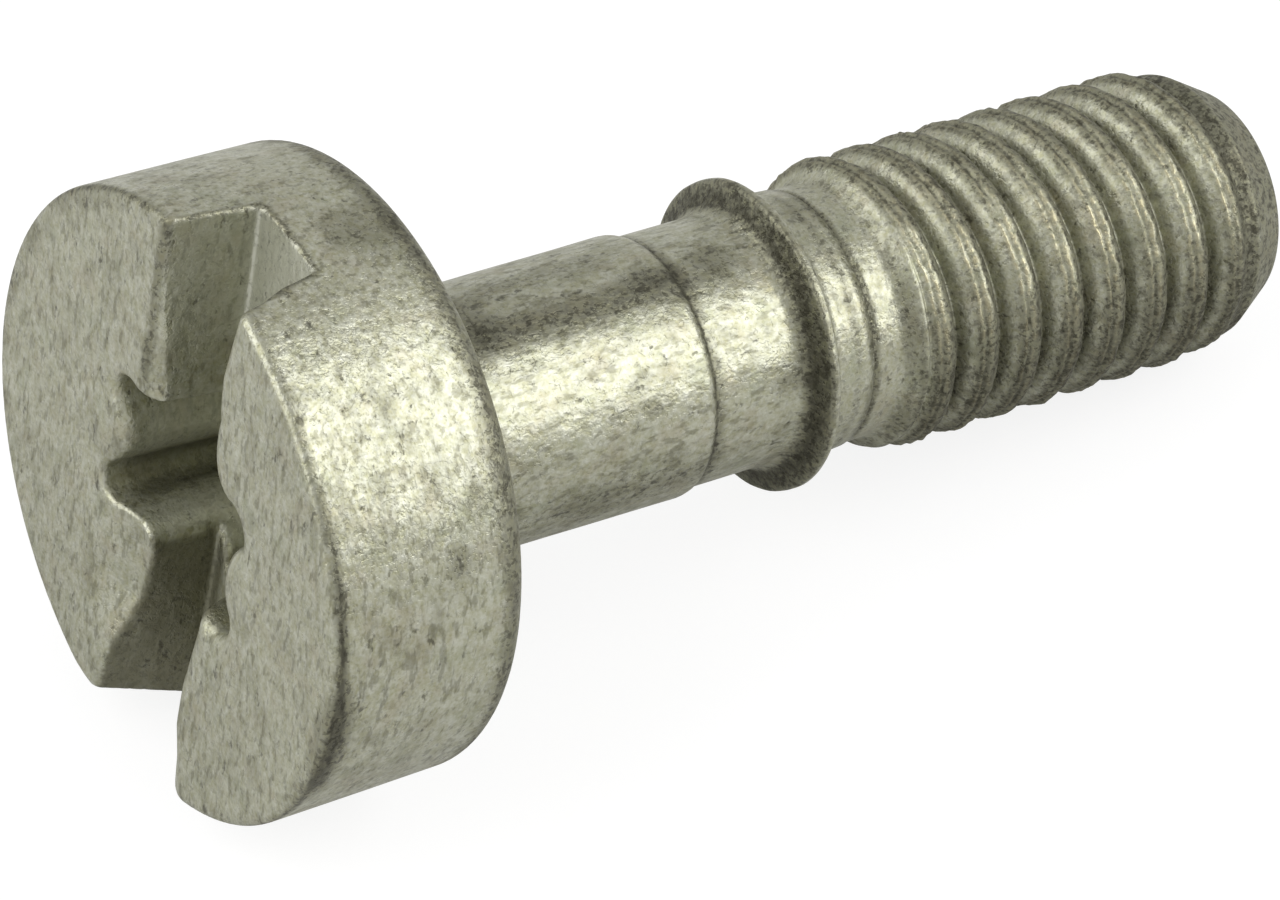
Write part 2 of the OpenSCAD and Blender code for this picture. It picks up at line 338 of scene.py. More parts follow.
def edgesOf(quads):
    return np.concatenate([quads[:, [i, (i + 1) % 4]] for i in range(4)])


def spreadOut(points, quads, fixed):  # evens out the spacing
    edges = edgesOf(quads)
    total = np.zeros_like(points)
    for axis in range(3):
        total[:, axis] = np.bincount(edges[:, 0], points[edges[:, 1], axis], len(points))
        total[:, axis] += np.bincount(edges[:, 1], points[edges[:, 0], axis], len(points))
    amount = np.bincount(edges.ravel(), minlength=len(points))[:, None]
    moved = (points + total / np.maximum(amount, 1)) / 2
    return np.where(fixed[:, None], points, moved)


def borderLoop(quads):
    edges = edgesOf(quads)
    reversedEdges = {tuple(edge) for edge in edges[:, ::-1].tolist()}
    follow = {a: b for a, b in edges.tolist() if (a, b) not in reversedEdges}
    first = next(iter(follow))
    loop = [first]
    while follow[loop[-1]] != first:
        loop.append(follow[loop[-1]])
    return loop


def makeHeadFront():
    step = recessPlan["meshStep"]
    beside, above, below = recessPlan["meshSpare"]
    reach = bodyPlan["headRadius"] + beside * step
    bottom = recessPlan["starDepth"] + recessPlan["coneHeight"] + below * step
    points, quads = netMesh(headField, (-reach, -reach, -above * step), (reach, reach, bottom), step)
    loop = borderLoop(quads)
    fixed = np.zeros(len(points), bool)
    fixed[loop] = True
    points = settle(points, headField, step, 3)
    for _ in range(5):
        points = settle(spreadOut(points, quads, fixed), headField, step, 1)
    points = settle(points, headField, step, 2)
    return points, quads, loop


# turned part: rows of points from the head's side to the start of the thread

def lineRows(start, end, count):  # the end itself isn't one of them
    return [tuple(a + (b - a) * i / count for a, b in zip(start, end)) for i in range(count)]


def arcRows(centre, radius, first, last, count):
    turns = [math.radians(first + (last - first) * i / count) for i in range(count + 1)]
    return [(centre[0] + radius * math.cos(turn), centre[1] + radius * math.sin(turn)) for turn in turns]


def bodyRows():
    p = bodyPlan
    gap, neckGap = p["rowGap"], p["neckGap"]
    # head's side, its rear edge, the bearing face and the fillet under it
    head, rear, shank = p["headHeight"], p["rearRadius"], p["shankRadius"]
    edge, fillet = p["bearingEdge"], p["headFillet"]
    start = p["joinAt"] + p["joinGap"]
    startRadius = p["headRadius"] + (rear - p["headRadius"]) * (start / head)
    rows = lineRows((start, startRadius), (head - edge, rear), 7)
    rows += arcRows((head - edge, rear - edge), edge, 90, 0, 9)
    rows += lineRows((head, rear - edge - gap), (head, shank + fillet), 12)
    rows += arcRows((head + fillet, shank + fillet), fillet, 180, 270, 6)[:-1]
    # shank and shoulder
    shoulder, waist, edge = p["shoulderRadius"], p["waistRadius"], p["shoulderEdge"]
    edgeAt = p["shoulderAt"] - edge
    rows += lineRows((head + fillet, shank), (edgeAt, shoulder), 20)
    drop = math.degrees(math.acos((edge - (shoulder - waist)) / edge))
    rows += arcRows((edgeAt, shoulder - edge), edge, 90, 90 - drop, 5)
    # waist and collar
    collar, edge, fillet = p["collarRadius"], p["collarEdge"], p["collarFillet"]
    front, back = p["collarAt"] - p["collarRim"] / 2, p["collarAt"] + p["collarRim"] / 2
    foot = front - p["collarFront"]
    rows += lineRows((rows[-1][0] + gap, waist), (foot - fillet, waist), 7)
    for way, rise in ((-1, 0), (-0.3, 0.12), (0.3, 0.45)):
        rows.append((foot + way * fillet, waist + rise * fillet))
    rows += lineRows((foot + fillet, waist + fillet), (front, collar - edge - p["rimGaps"][0]), 6)
    rows += arcRows((front + edge, collar - edge), edge, 170, 90, 4)
    rows += arcRows((back - edge, collar - edge), edge, 80, 0, 4)
    # collar's back, neck and ring groove
    neck, band, neckEnd, groove = p["neckRadius"], p["bandRadius"], p["neckEnd"], p["grooveWidth"]
    foot = back + p["collarBack"]
    rows += lineRows((back + p["rimGaps"][1], collar - edge - gap), (foot, neck + neckGap), 4)
    rows += lineRows((foot + neckGap, neck), (neckEnd - groove / 2 - neckGap, neck), 5)
    for way, radius, dip in zip((-0.5, -0.25, 0.125, 0.5), (neck, band, band, band), p["grooveDips"]):
        rows.append((neckEnd + way * groove, radius - dip))
    return rows


# thread: a strip of stations that follows the helix

threadPlan = {  # millimetres and turns
    "start": 14.7,
    "length": 8.25,
    "pitch": 1,
    "crestRadius": 2.9,
    "rootRadius": 2.385,
    "blankRadius": 2.67,
    "tipAngle": 30,
    "tipEdge": 0.2,
    "tipGap": 0.06,
    "tipClose": (-0.03, 0.04),  # where the thread's last rows reach the tip's cone, past the thread's end
    "flatRows": (0.9, 0.6, 0.3),
    "lip": 0.03,  # the tip's cone starts this far outside the blank
    "grow": (0.3, 0.7),  # turns over which the thread rises
    "climb": (0.56, 1.0),  # where the first turn climbs out of the band, past the neck's end
    "climbRise": 0.3,
    "climbEnd": (0.8, 1.1),
    "fade": (-0.15, 0.4),  # turns past the thread's end
    "steps": 120,
    "bandRows": 9,
    "squeeze": 0.24,  # the rows past the thread's end lie this much closer
    "squeezeFrom": 0.06,
    "crestRough": 0.022,
    "seamSway": 0.024,
    "foldAt": (0.41, 0.03),  # the crest's rolled seam, as a share of the pitch, and its half width
    "foldDepth": 0.012,
    "foldUneven": 0.016,
    "lipsAt": ((0.345, 0.02), (0.485, 0.03)),
    "lipRough": 0.01,
    # share of the pitch, share of the height, grime with painted shade, wear with painted glint: root, flank,
    # crest with its rolled seam, flank
    # the grime column darkens the root and the far flank as painted shade and leaves the lit near flank light
    "stations": [
        (0, 0, 0.4, 0), (0.03, 0.07, 0.35, 0), (0.06, 0.2, 0.3, 0), (0.09, 0.33, 0.2, 0),
        (0.12, 0.435, 0.1, 0), (0.15, 0.52, 0.05, 0), (0.18, 0.59, 0.05, 0), (0.21, 0.65, 0.1, 0),
        (0.24, 0.705, 0.25, 0), (0.27, 0.755, 0.4, 0), (0.3, 0.8, 0.55, 0.1), (0.325, 0.84, 0.55, 0.5),
        (0.345, 0.865, 0.5, 1), (0.365, 0.877, 0.55, 0.6), (0.385, 0.885, 0.6, 0.1), (0.41, 0.893, 0.65, 0),
        (0.435, 0.912, 0.6, 0.1), (0.46, 0.945, 0.5, 0.6), (0.485, 0.97, 0.5, 1), (0.515, 0.985, 0.55, 0.6),
        (0.55, 0.985, 0.6, 0.1), (0.59, 0.965, 0.6, 0), (0.63, 0.93, 0.6, 0), (0.67, 0.875, 0.6, 0),
        (0.71, 0.8, 0.6, 0), (0.76, 0.685, 0.6, 0), (0.81, 0.54, 0.6, 0), (0.86, 0.38, 0.55, 0),
        (0.91, 0.21, 0.5, 0), (0.96, 0.075, 0.45, 0)
    ],
}

threadDirtAndShadePlan = {  # amounts, and places in degrees round the screw with their reach
    "tip": 0.56,
    "lastTurn": 0.75,
    "firstTurn": 0.3,  # share of the stations' grime before the thread has risen
    "band": (0.02, 0.35),
    "bandFrom": (0.5, 0.75),  # millimetres past the neck's end
    # painted light: less grime, and more of the wear's bright colour as a painted glint, in the band round
    # the screw where the highlight falls
    "highlightBandAt": (-138, 24),
    "highlightBandLightening": 0.65,
    "highlightBandUpTo": 0.58,  # share of the pitch
    "leastWear": 0.2,
    # painted shade: more grime on the thread's top side and on its underside
    "topShadeAt": (-190, 26),
    "top": 0.15,
    "undersideShadeAt": (-78, 34),
    "undersideShade": 0.25,
    "lastTurnFrom": (-0.3, 0.05),  # turns past the thread's end
    "tipFrom": (0.45, 0.6),
}


def coneRadius(z):  # the tip's cone, which cuts the thread's end
    p = threadPlan
    slope = math.tan(math.radians(p["tipAngle"]))
    return p["blankRadius"] + p["lip"] + (p["start"] + p["length"] - z) * slope


# seed, waves, most turns round the screw, steepest run along it
crestRipple = Ripple(5, 40, 60, 25)
seamRipple = Ripple(9, 30, 40, 12)
foldRipple = Ripple(11, 20, 25, 9)
lipRipple = Ripple(13, 30, 58, 30)


def bandEdge(z, turn):  # the plain band, and the first turn's climb out of it
    p = threadPlan
    climbed = smoothStep(z - bodyPlan["neckEnd"], *p["climb"])
    edge = bodyPlan["bandRadius"] + p["climbRise"] * climbed
    return p["rootRadius"] + (edge - p["rootRadius"]) * (1 - smoothStep(turn, *p["climbEnd"]))


def threadPoint(step, share, height):
    p = threadPlan
    turn = step / p["steps"] + share
    angle = 2 * math.pi * step / p["steps"]
    end = p["start"] + p["length"]
    z = p["start"] + p["pitch"] * (turn - 0.5)
    z = z - np.maximum(0, z - end - p["squeezeFrom"]) * (1 - p["squeeze"])
    grown = smoothStep(turn, *p["grow"])
    onCrest = np.clip(height * 2 - 1, 0, 1) * grown
    fold = hump(share, *p["foldAt"]) * (p["foldDepth"] + p["foldUneven"] * foldRipple.at(angle, z))
    lips = sum(hump(share, *place) for place in p["lipsAt"])
    rise = height * grown * (p["crestRadius"] - p["rootRadius"])
    rise = rise + crestRipple.at(angle, z) * p["crestRough"] * onCrest - fold * grown
    rise = rise + lipRipple.at(angle, z) * p["lipRough"] * lips * grown
    cone = coneRadius(z)
    cut = np.minimum(p["rootRadius"] + rise, cone)
    plain = np.minimum(p["blankRadius"], cone - p["lip"])
    faded = smoothStep(turn - p["length"] / p["pitch"], *p["fade"])
    radius = np.maximum(cut + (plain - cut) * faded, bandEdge(z, turn))
    radius = radius + (cone - radius) * smoothStep(z - end, *p["tipClose"])
    z = z + seamRipple.at(angle, z) * p["seamSway"] * onCrest * (1 - faded)
    return np.stack(np.broadcast_arrays(radius * np.cos(angle), radius * np.sin(angle), z), -1)


class Body:  # gathers points and faces, and for each point its grime with painted shade, its wear with painted glint, and its painted shading
    def __init__(self):
        self.points = []
        self.grimeAndShade = []
        self.wearAndGlint = []
        self.paintedShading = []
        self.faces = []
        self.count = 0

    def add(self, points, grimeAndShade=0, wearAndGlint=0, paintedShading=0):
        start = self.count
        points = np.asarray(points, float).reshape(-1, 3)
        self.points.append(points)
        self.grimeAndShade.append(np.broadcast_to(grimeAndShade, len(points)))
        self.wearAndGlint.append(np.broadcast_to(wearAndGlint, len(points)))
        self.paintedShading.append(np.broadcast_to(paintedShading, len(points)))
        self.count += len(points)
        return start

    def ring(self, z, radius, sides, grimeAndShade=0):
        angle = 2 * math.pi * np.arange(sides) / sides
        return self.add(np.stack([radius * np.cos(angle), radius * np.sin(angle), z + 0 * angle], 1), grimeAndShade)

    def joinRings(self, first, second, sides):  # first has the lower z
        for i in range(sides):
            j = (i + 1) % sides
            self.faces.append((first + i, first + j, second + j, second + i))


bodyRipple = Ripple(3, 24, 30, 3)
rimRipple = Ripple(4, 20, 12, 8)


def turnedRadius(z, radius, angle):  # the turned surfaces aren't quite round, the collar's rim least of all
    p = bodyPlan
    rim = 0
    if abs(z - p["collarAt"]) < p["rimReach"]:
        rim = np.clip((radius - p["neckRadius"]) / (p["collarRadius"] - p["neckRadius"]), 0, 1)
    if z > p["headHeight"] - 0.01:
        radius = radius - p["unround"] + p["unround"] * bodyRipple.at(angle, z)
    return radius - (p["rimInset"] - p["rimWave"] * rimRipple.at(angle, z)) * rim


bandPlan = [  # darker bands round the turned part: dirt, painted shade on the shank under the head, and a darker ring groove: place along the axis, half width, amount
    (3.78, 0.26, 0.62),
    # painted shade on the shank just under the head
    (4.35, 0.3, 0.7),
    (10.42, 0.09, 0.75),
    (12.51, 0.17, 0.95),
    (12.66, 0.06, 0.6),
    (12.9, 0.08, 0.3),
    (13.55, 0.03, 0.4),
    (14.0, 0.09, 0.75),
    (14.75, 0.14, 0.4),
]

stainAndShadePlan = [  # stains and painted shade: place along the axis, angle, half width along, half width in degrees, amount
    # darker clouds above the highlight: stains, with painted shade of a dark reflection
    (8.2, -166, 2.6, 9, 0.65),
    (10.0, -171, 0.6, 10, 0.5),
    (5.9, -171, 0.8, 16, 0.6),
    (7.4, -192, 2.0, 9, 0.4),
    # painted shade, darker towards the underside
    (8.3, -78, 2.5, 16, 0.4),
    (6.3, -108, 0.5, 5, 0.35),
    (9.0, -118, 0.25, 4, 0.5),
    (11.3, -176, 0.6, 12, 0.45),
    (12.0, -112, 0.5, 9, 0.35),
    (3.0, -175, 1.0, 7, 0.4),
    (2.4, -112, 0.8, 3, 0.5),
    (3.2, -122, 0.3, 3, 0.4),
    (1.0, -180, 1.2, 6, 0.3),
    (13.6, -178, 0.4, 14, 0.25),
]


def bandGrimeAndShade(z, angle):
    band = max(amount * hump(z, at, width) for at, width, amount in bandPlan)
    total = 0 * angle
    for at, middle, reach, turn, amount in stainAndShadePlan:
        total = total + amount * hump(z, at, reach) * hump(degreesFrom(middle, np.degrees(angle)), 0, turn)
    return np.clip(band + total, 0, 1)


rimPlan = [  # dirt on the head's rim: middle and reach in degrees, depth below the face, half width, amount
    (-98, 28, 0.2, 0.09, 0.85),
    (-80, 14, 0.26, 0.24, 0.85),
    (-50, 22, 0.12, 0.08, 0.6),
    (146, 26, 0.06, 0.06, 0.6),
    (95, 22, 0.05, 0.05, 0.4),
    (-150, 20, 0.2, 0.05, 0.25),
]


# amounts of grime, and of painted shading: above 0 painted shade, below 0 painted light; places in
# millimetres
recessDirtAndShadePlan = {
    "grimeAllOver": 0.1,
    # painted shade on the slot's lower left and right walls and in the pocket beside the star; painted light
    # on the slot's upper walls and floor and on the star's walls; painted shade in the star's points
    "leftWall": {"grimeAndShade": 0.1, "paintedShading": 1, "reach": 0.06, "n": (-0.3, -0.5), "s": (1.1, 1.6)},
    "rightWall": {"paintedShading": 0.8, "reach": 0.12, "n": 0.3, "s": (2.2, 2.8)},
    "topSlot": {"paintedShading": -0.35, "floorPaintedLight": -0.6, "reach": 0.1, "s": (-2.0, -3.4), "floor": (1.5, 1.7)},
    "star": {"paintedShading": -0.5, "reach": 0.1, "z": (0.3, 0.9)},
    "starPoints": {"paintedShading": 1.3, "from": (1.9, 2.3)},
    "pocket": {"grimeAndShade": 0.25, "paintedShading": 1.2, "s": (1.75, 0.45), "n": (1.45, 0.35), "z": (0.1, 0.2)},
    "slotExit": {"grimeAndShade": 0.6, "radius": (5.93, 0.06), "reach": (0.04, 0.07), "s": -4.5, "z": 0.25},
    "slotMouth": {"grimeAndShade": 0.45, "reach": (0.03, 0.05), "s": (-0.9, -1.5), "z": 0.12},
    "insideRadius": 5.9,
    "insideDepth": 0.1,
    "rimRadius": 5.6,
}


def headGrimeAndShading(points):  # the grime of the head's front, and its painted shading: painted shade on the slot's lower walls, in the pocket beside the star and in the star's points, painted light on the slot's walls and floor towards the top and on the star's walls
    p = recessDirtAndShadePlan
    x, y, z = points[:, 0], points[:, 1], points[:, 2]
    s, n = recessPlane(x, y)
    radius = np.hypot(x, y)
    around = np.degrees(np.arctan2(y, x))
    grimeAndShade = p["grimeAllOver"] + 0 * x
    for middle, reach, at, width, amount in rimPlan:
        share = hump(degreesFrom(middle, around), 0, reach, 4) * hump(z, at, width)
        grimeAndShade = grimeAndShade + amount * share * (radius > p["rimRadius"])
    slot = np.maximum(slotField(s, n, z), 0)
    inside = (radius < p["insideRadius"]) * (z > p["insideDepth"])
    place = p["leftWall"]
    leftWall = hump(slot, 0, place["reach"]) * smoothStep(n, *place["n"]) * smoothStep(s, *place["s"])
    leftWall = leftWall * inside
    place = p["rightWall"]
    rightWall = hump(slot, 0, place["reach"]) * (n > place["n"]) * smoothStep(s, *place["s"])
    place = p["topSlot"]
    topSlot = hump(slot, 0, place["reach"]) * smoothStep(s, *place["s"]) * inside
    topPaintedLight = place["paintedShading"] + place["floorPaintedLight"] * smoothStep(z, *place["floor"])
    place = p["star"]
    star = hump(np.maximum(starField(s, n), 0), 0, place["reach"]) * smoothStep(z, *place["z"])
    starPoints = star * smoothStep(np.hypot(s, n), *p["starPoints"]["from"])
    place = p["pocket"]
    pocket = hump(s, *place["s"]) * hump(n, *place["n"]) * smoothStep(z, *place["z"])
    place = p["slotExit"]
    slotExit = hump(radius, *place["radius"]) * hump(slot, *place["reach"])
    slotExit = slotExit * (s < place["s"]) * (z > place["z"])
    place = p["slotMouth"]
    slotMouth = hump(slot, *place["reach"]) * smoothStep(s, *place["s"]) * (n < 0) * (z < place["z"])
    shares = {"leftWall": leftWall, "rightWall": rightWall, "star": star, "starPoints": starPoints,
              "pocket": pocket, "slotExit": slotExit, "slotMouth": slotMouth}
    grimeAndShade = grimeAndShade + sum(p[name].get("grimeAndShade", 0) * share for name, share in shares.items())
    paintedShading = topSlot * topPaintedLight + sum(p[name].get("paintedShading", 0) * share for name, share in shares.items())
    return np.clip(grimeAndShade, 0, 1), np.clip(paintedShading, -1, 1)


def zipRings(body, loop, start, sides):  # joins the head's fine border to the first turned ring
    points = body.points[0]
    angles = np.unwrap(np.arctan2(points[loop, 1], points[loop, 0]))
    if angles[-1] < angles[0]:
        loop, angles = loop[::-1], angles[::-1]
    first = int(np.argmin(np.abs((angles + math.pi) % (2 * math.pi) - math.pi)))
    loop = list(loop[first:]) + list(loop[:first])
    angles = np.concatenate([angles[first:], angles[:first] + 2 * math.pi]) - angles[first]
    a = b = 0
    while a < len(loop) or b < sides:
        nextA = angles[a + 1] if a + 1 < len(loop) else 2 * math.pi + (a + 1 - len(loop))
        nextB = 2 * math.pi * (b + 1) / sides
        here, there = loop[a % len(loop)], start + b % sides
        if b >= sides or (a < len(loop) and nextA <= nextB):
            body.faces.append((here, loop[(a + 1) % len(loop)], there))
            a += 1
        else:
            body.faces.append((here, start + (b + 1) % sides, there))
            b += 1


def threadDirtAndShade(step):  # grime with painted shade, and wear with painted glint, of all stations at each of these steps
    p = threadDirtAndShadePlan
    share, _, grimeAndShade, wearAndGlint = np.array(threadPlan["stations"]).T
    turn = step / threadPlan["steps"] + share
    around = (step * 360 / threadPlan["steps"]) % 360 - 360
    grown = smoothStep(turn, *threadPlan["grow"])
    past = turn - threadPlan["length"] / threadPlan["pitch"]
    ending, after = smoothStep(past, *p["lastTurnFrom"]), smoothStep(past, *p["tipFrom"])
    highlightBand = hump(around, *p["highlightBandAt"])
    # painted light where the highlight falls, less the painted shade on the top side
    lessDark = p["highlightBandLightening"] * highlightBand * (share < p["highlightBandUpTo"]) - p["top"] * hump(around, *p["topShadeAt"])
    grimeAndShade = grimeAndShade * (p["firstTurn"] + (1 - p["firstTurn"]) * grown) * (1 - lessDark)
    grimeAndShade = grimeAndShade + p["undersideShade"] * hump(around, *p["undersideShadeAt"]) * grown
    grimeAndShade = np.maximum(grimeAndShade, ending * (1 - after) * p["lastTurn"]) * (1 - after) + p["tip"] * after
    # wear on the crests, strongest where the highlight falls: painted glint
    wearAndGlint = wearAndGlint * grown * (1 - ending) * (p["leastWear"] + (1 - p["leastWear"]) * highlightBand)
    return grimeAndShade.ravel(), wearAndGlint.ravel()


def addThread(body, low):
    p = threadPlan
    n = p["steps"]
    share, height = np.array(p["stations"]).T[:2]
    rows = len(share)
    steps = math.ceil(p["length"] / p["pitch"]) * n
    step = np.arange(steps + 1)[:, None]
    start = body.add(threadPoint(step, share, height), *threadDirtAndShade(step))
    top = body.add(threadPoint(np.arange(steps + 1, steps + n + 1), 0.0, 0.0), threadDirtAndShadePlan["tip"])

    def at(i, k):
        if k >= rows:
            return at(i + n, 0)
        return top + i - steps - 1 if i > steps else start + rows * i + k

    for i in range(steps):
        for k in range(rows):
            body.faces.append((at(i, k), at(i + 1, k), at(i + 1, k + 1), at(i, k + 1)))
    # the plain band, from the neck's groove to the thread's first root
    neckEnd = bodyPlan["neckEnd"]
    lowZ = neckEnd + bodyPlan["grooveWidth"] / 2
    edgeZ = p["start"] + p["pitch"] * (np.arange(n) / n - 0.5)
    lessDark, dirt = threadDirtAndShadePlan["band"]
    fill = []
    for k in range(1, p["bandRows"] + 1):
        z = lowZ + (edgeZ - lowZ) * k / (p["bandRows"] + 1)
        radius = bandEdge(z, (z - p["start"]) / p["pitch"] + 0.5)
        grimeAndShade = lessDark + dirt * smoothStep(z - neckEnd, *threadDirtAndShadePlan["bandFrom"])
        fill.append(body.ring(z, radius, n, grimeAndShade))
    for i in range(n - 1):
        lane = [low + i] + [f + i for f in fill] + [at(i, 0)]
        following = [low + i + 1] + [f + i + 1 for f in fill] + [at(i + 1, 0)]
        for k in range(len(lane) - 1):
            body.faces.append((lane[k], following[k], following[k + 1], lane[k + 1]))
    beginning = [low] + fill + [at(0, k) for k in range(rows + 1)]
    body.faces.append(tuple([low + n - 1] + beginning + [at(n - 1, 0)] + [f + n - 1 for f in reversed(fill)]))
    # from the last turn to the tip's first ring
    highZ = float(threadPoint(steps + n, 0.0, 0.0)[2]) + p["tipGap"]
    high = body.ring(highZ, coneRadius(highZ), n, threadDirtAndShadePlan["tip"])
    for i in range(1, n):
        body.faces.append((at(steps + i, 0), at(steps + i + 1, 0), high + (i + 1) % n, high + i))
    body.faces.append(tuple([at(steps + 1, 0), high + 1, high] + [at(steps, k) for k in range(rows, -1, -1)]))
    return high, highZ


def addTip(body, high, highZ):
    p, n = threadPlan, threadPlan["steps"]
    length, edge = bodyPlan["length"], p["tipEdge"]
    flat = coneRadius(length) - edge * math.tan(math.radians((90 - p["tipAngle"]) / 2))
    arc = arcRows((length - edge, flat), edge, 90 - p["tipAngle"], 0, 5)
    rows = lineRows((highZ, coneRadius(highZ)), arc[0], 4)[1:] + arc
    rows += [(length, flat * share) for share in p["flatRows"]]
    last = high
    for z, radius in rows:
        new = body.ring(z, radius, n, threadDirtAndShadePlan["tip"])
        body.joinRings(last, new, n)
        last = new
    middle = body.add([(0, 0, length)], threadDirtAndShadePlan["tip"])
    for i in range(n):
        body.faces.append((last + i, last + (i + 1) % n, middle))


def makeScrew():
    body = Body()
    points, quads, loop = makeHeadFront()
    grimeAndShade, paintedShading = headGrimeAndShading(points)
    body.add(points, grimeAndShade, paintedShading=paintedShading)
    body.faces += quads.tolist()
    print("head's front", len(points))
    sides = bodyPlan["sides"]
    angle = 2 * math.pi * np.arange(sides) / sides
    last = None
    for z, radius in bodyRows():
        new = body.ring(z, turnedRadius(z, radius, angle), sides, bandGrimeAndShade(z, angle))
        if last is None:
            zipRings(body, loop, new, sides)
        else:
            body.joinRings(last, new, sides)
        last = new
    high, highZ = addThread(body, last)
    addTip(body, high, highZ)
    points = np.concatenate(body.points)
    mesh = bpy.data.meshes.new("screw_body")
    place = np.array(screwPlace)
    mesh.from_pydata((points @ place[:3, :3].T * mm + place[:3, 3]).tolist(), [], body.faces)
    mesh.shade_smooth()
    attribute = mesh.attributes.new("place", "FLOAT_VECTOR", "POINT")
    attribute.data.foreach_set("vector", points.astype(np.float32).ravel())
    for name, values in (("grimeAndShade", body.grimeAndShade), ("wearAndGlint", body.wearAndGlint), ("paintedShading", body.paintedShading)):
        attribute = mesh.attributes.new(name, "FLOAT", "POINT")
        attribute.data.foreach_set("value", np.concatenate(values).astype(np.float32))
    screw = bpy.data.objects.new("screw_body", mesh)
    bpy.context.scene.collection.objects.link(screw)
    print("screw", len(points), "points", sum(len(f) - 2 for f in body.faces), "triangles")
    return screw


screw = makeScrew()


# shader tools

class Wire:  # a shader socket that takes part in Python arithmetic
    def __init__(self, look, socket):
        self.look = look
        self.socket = socket

    def __add__(self, other):
        return self.look.math("ADD", self, other)

    def __sub__(self, other):
        return self.look.math("SUBTRACT", self, other)

    def __mul__(self, other):
        return self.look.math("MULTIPLY", self, other)

    def __radd__(self, other):
        return self.look.math("ADD", other, self)

    def __rsub__(self, other):
        return self.look.math("SUBTRACT", other, self)

    def __rmul__(self, other):
        return self.look.math("MULTIPLY", other, self)

    def top(self, other):
        return self.look.math("MAXIMUM", self, other)

    def ramp(self, low, high):  # 0 at low, 1 at high, smooth between them
        return self.look.node("ShaderNodeMapRange", {"interpolation_type": "SMOOTHSTEP"},
                              {"Value": self, "From Min": low, "From Max": high})


class Look:
    def __init__(self, owner):
        owner.use_nodes = True
        self.tree = owner.node_tree
        self.tree.nodes.clear()

    def put(self, value, socket):
        if isinstance(value, Wire):
            self.tree.links.new(value.socket, socket)
        else:
            socket.default_value = value

    def math(self, operation, *values):
        made = self.tree.nodes.new("ShaderNodeMath")
        made.operation = operation
        for value, socket in zip(values, made.inputs):
            self.put(value, socket)
        return Wire(self, made.outputs[0])

    def node(self, kind, settings, sockets, output=0):
        made = self.tree.nodes.new(kind)
        for name, value in settings.items():
            setattr(made, name, value)
        for name, value in sockets.items():
            self.put(value, made.inputs[name])
        return Wire(self, made.outputs[output]) if made.outputs else None

    def mix(self, share, a, b):
        return self.node("ShaderNodeMix", {"data_type": "RGBA"}, {0: share, 6: a, 7: b}, 2)

    def vector(self, operation, *values):
        return self.node("ShaderNodeVectorMath", {"operation": operation}, dict(enumerate(values)))

    def attribute(self, name, output=2):  # output 1 is a vector, 2 a number
        return self.node("ShaderNodeAttribute", {"attribute_name": name}, {}, output)

    def noise(self, place, scale, detail, roughness):
        return self.node("ShaderNodeTexNoise", {}, {
            "Vector": place, "Scale": scale, "Detail": detail, "Roughness": roughness})


def rgb(red, green, blue):  # a colour as it shows on the screen, in 0 to 255
    return tuple(((c / 255 + 0.055) / 1.055) ** 2.4 for c in (red, green, blue)) + (1,)


# zinc-coated steel

zincPlan = {
    "bright": rgb(205, 206, 191),
    "plain": rgb(169, 168, 136),
    "tan": rgb(164, 152, 124),
    "green": rgb(150, 156, 128),
    "olive": rgb(110, 108, 87),
    "dark": rgb(68, 66, 54),
    "brass": rgb(222, 212, 168),
    "metallic": 0.72,
    "roughness": 0.29,
    "grain": 14,  # per millimetre
    "bumpHeight": 0.000016,
    # places along the screw's axis, in millimetres
    "faceEnd": (4.0, 4.1),
    "streakEnd": 12.4,
    "threadFrom": (14.3, 14.8),
}


